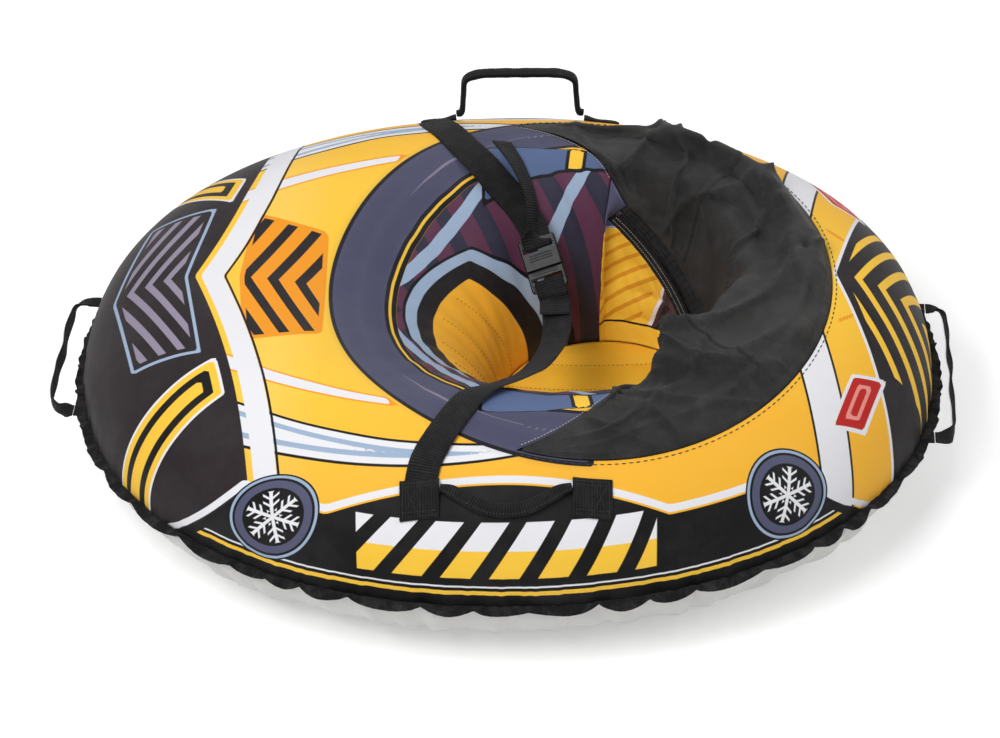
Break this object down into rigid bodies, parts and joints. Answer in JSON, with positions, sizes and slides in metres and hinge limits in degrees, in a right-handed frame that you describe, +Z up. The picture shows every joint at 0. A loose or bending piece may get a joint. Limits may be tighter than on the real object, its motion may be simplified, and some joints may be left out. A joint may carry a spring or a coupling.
{
  "type": "snow tube",
  "caption": "Child's oval snow tube: inflated ring in a sewn cover with a zipped gusset, lap belt and buckle, webbing grips and tow loop.",
  "frame": {"origin": "on the floor, under the middle of the oval rim", "axes": "-X towards the nose and the tow loop, +X towards the back of the seat, +Y to the side of the standing grip, +Z up"},
  "size_m": [1.1409, 0.8433, 0.3282],
  "materials": {
    "printed_fabric": "smooth coated print",
    "seat_fabric": "smooth coated print",
    "coated_fabric": "coated, slightly glossy",
    "binding_tape": "knitted tape, matt",
    "gusset_nylon": "woven nylon, matt",
    "webbing": "ribbed webbing",
    "buckle_plastic": "gloss",
    "zip_tape": "woven tape",
    "zip_coil": "satin",
    "zip_metal": "satin paint",
    "tube_rubber": "matt",
    "valve_rubber": "matt",
    "valve_brass": "turned",
    "cap_plastic": "satin"
  },
  "bodies": {
    "cover": {"inner_tube": "tube_rubber", "valve_stem": "valve_rubber", "valve_core": "valve_brass", "top_cover": "printed_fabric", "bottom_cover": "coated_fabric", "seat_floor": "seat_fabric", "seat_back_lining": "printed_fabric", "edge_binding": "binding_tape", "rear_gusset": "gusset_nylon", "zip_tape_inner": "zip_tape", "zip_tape_outer": "zip_tape", "zip_coil_inner": "zip_coil", "zip_coil_outer": "zip_coil", "zip_stop_near": "zip_metal", "zip_stop_far": "zip_metal", "belt_far": "webbing", "belt_near": "webbing", "buckle_socket": "buckle_plastic", "near_patch_front": "webbing", "near_patch_rear": "webbing", "far_patch_front": "webbing", "far_patch_rear": "webbing"},
    "cap": {"valve_cap": "cap_plastic"},
    "slider": {"zip_slider": "zip_metal"},
    "pull": {"zip_pull": "zip_metal"},
    "latch": {"buckle_latch": "buckle_plastic"},
    "near_grip": {"near_handle_grip": "webbing"},
    "far_grip": {"far_handle_grip": "webbing"},
    "nose_loop": {"tow_loop": "webbing"},
    "back_loop": {"rear_loop": "webbing"}
  },
  "joints": [
    {"name": "cap_thread", "type": "hinge", "parent": "cover", "child": "cap", "pos_m": [0.29122, 0, 0.085], "axis": [-1, 0, 0], "continuous": true},
    {"name": "zip_run", "type": "hinge", "parent": "cover", "child": "slider", "pos_m": [0.125, 0, 0.248], "axis": [0.7071, 0, 0.7071], "range_deg": [0, 150]},
    {"name": "pull_hinge", "type": "hinge", "parent": "slider", "child": "pull", "pos_m": [0.15534, -0.16015, 0.21766], "axis": [0.7071, 0, 0.7071], "range_deg": [0, 150]},
    {"name": "latch_pull", "type": "slide", "parent": "cover", "child": "latch", "axis": [0.2755, -0.8016, -0.5306], "range_m": [0, 0.025], "deforming": ["belt_near"]},
    {"name": "near_grip_hinge", "type": "hinge", "parent": "cover", "child": "near_grip", "pos_m": [0, -0.34225, 0.2572], "axis": [-1, 0, 0], "range_deg": [0, 110]},
    {"name": "far_grip_hinge", "type": "hinge", "parent": "cover", "child": "far_grip", "pos_m": [0.01708, 0.34226, 0.25709], "axis": [1, 0, 0], "range_deg": [-110, 55]},
    {"name": "nose_loop_hinge", "type": "hinge", "parent": "cover", "child": "nose_loop", "pos_m": [-0.53878, 0.025, 0.122], "axis": [-0.0688, -0.9976, 0], "range_deg": [-45, 45]},
    {"name": "back_loop_hinge", "type": "hinge", "parent": "cover", "child": "back_loop", "pos_m": [0.53466, -0.017, 0.122], "axis": [-0.048, -0.9988, 0], "range_deg": [-45, 45]}
  ]
}
